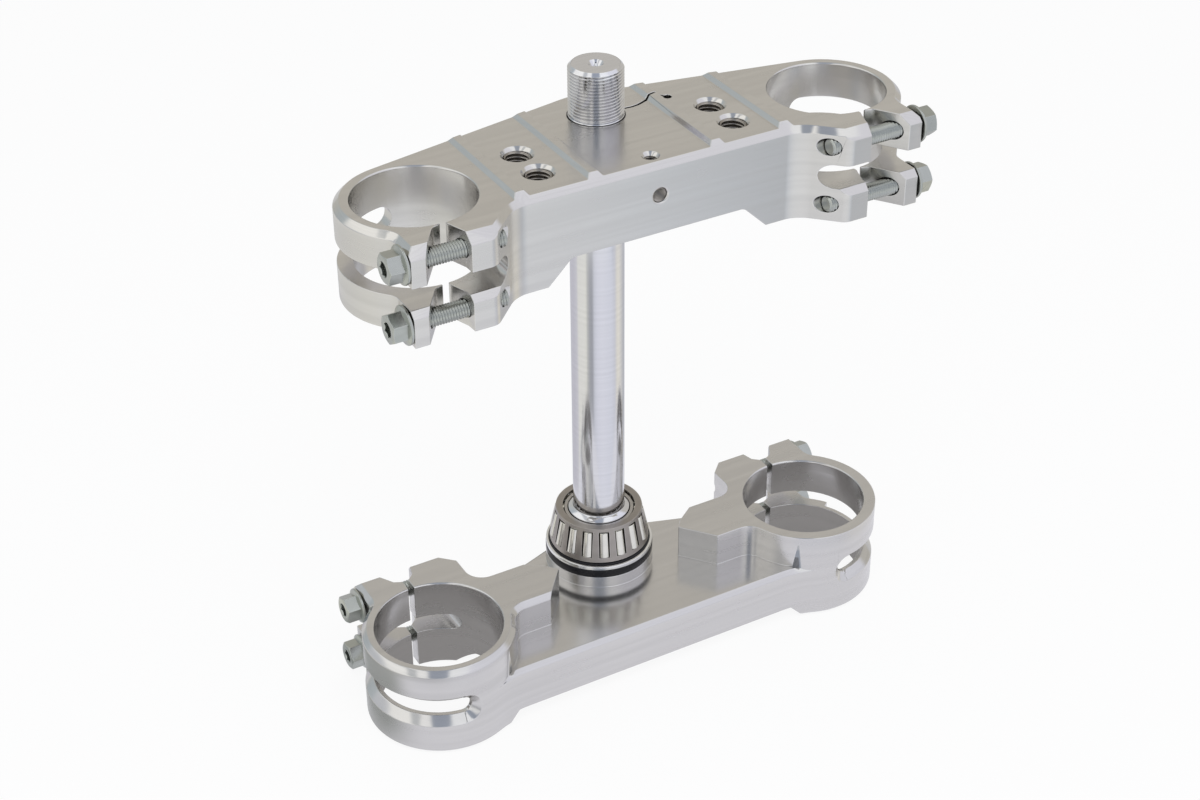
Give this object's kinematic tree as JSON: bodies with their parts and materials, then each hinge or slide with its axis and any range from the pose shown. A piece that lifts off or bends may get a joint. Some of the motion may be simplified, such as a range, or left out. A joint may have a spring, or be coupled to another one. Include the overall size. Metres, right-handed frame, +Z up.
{
  "type": "motorcycle triple clamp",
  "caption": "Upper and lower fork clamps on one steering stem, with split and slotted rings, pinch bolts and a lower tapered roller bearing over its dust seal.",
  "frame": {"origin": "on the stem axis, in the plane of the lower clamp's underside", "axes": "+Z up along the stem, -Y to the front of the motorcycle, +X to the rider's left"},
  "size_m": [0.275, 0.0994, 0.2959],
  "materials": {
    "upper_aluminium": "machined satin",
    "lower_aluminium": "machined satin",
    "stem_steel": "ground and polished",
    "race_steel": "ground",
    "cage_steel": "pressed, lightly oiled",
    "roller_steel": "ground bright",
    "seal_rubber": "smooth moulded",
    "washer_steel": "bright turned",
    "bolt_zinc": "zinc plated",
    "screw_black": "black oxide"
  },
  "bodies": {
    "triple_clamp": {"upper_clamp": "upper_aluminium", "lower_clamp": "lower_aluminium", "steering_stem": "stem_steel", "bearing_inner_race": "race_steel", "dust_seal": "seal_rubber", "seal_washer": "washer_steel", "upper_bolt_right_top": "bolt_zinc", "upper_bolt_right_low": "bolt_zinc", "upper_bolt_left_top": "bolt_zinc", "upper_bolt_left_low": "bolt_zinc", "lower_bolt_right_top": "bolt_zinc", "lower_bolt_right_low": "bolt_zinc", "lower_bolt_left_top": "bolt_zinc", "lower_bolt_left_low": "bolt_zinc", "stem_pinch_bolt": "screw_black"},
    "cage_and_rollers": {"bearing_cage": "cage_steel", "bearing_roller_01": "roller_steel", "bearing_roller_02": "roller_steel", "bearing_roller_03": "roller_steel", "bearing_roller_04": "roller_steel", "bearing_roller_05": "roller_steel", "bearing_roller_06": "roller_steel", "bearing_roller_07": "roller_steel", "bearing_roller_08": "roller_steel", "bearing_roller_09": "roller_steel", "bearing_roller_10": "roller_steel", "bearing_roller_11": "roller_steel", "bearing_roller_12": "roller_steel", "bearing_roller_13": "roller_steel", "bearing_roller_14": "roller_steel", "bearing_roller_15": "roller_steel", "bearing_roller_16": "roller_steel", "bearing_roller_17": "roller_steel"}
  },
  "joints": [
    {"name": "cage_spin", "type": "hinge", "parent": "triple_clamp", "child": "cage_and_rollers", "pos_m": [0, 0, 0.052], "axis": [0, 0, 1], "continuous": true}
  ]
}
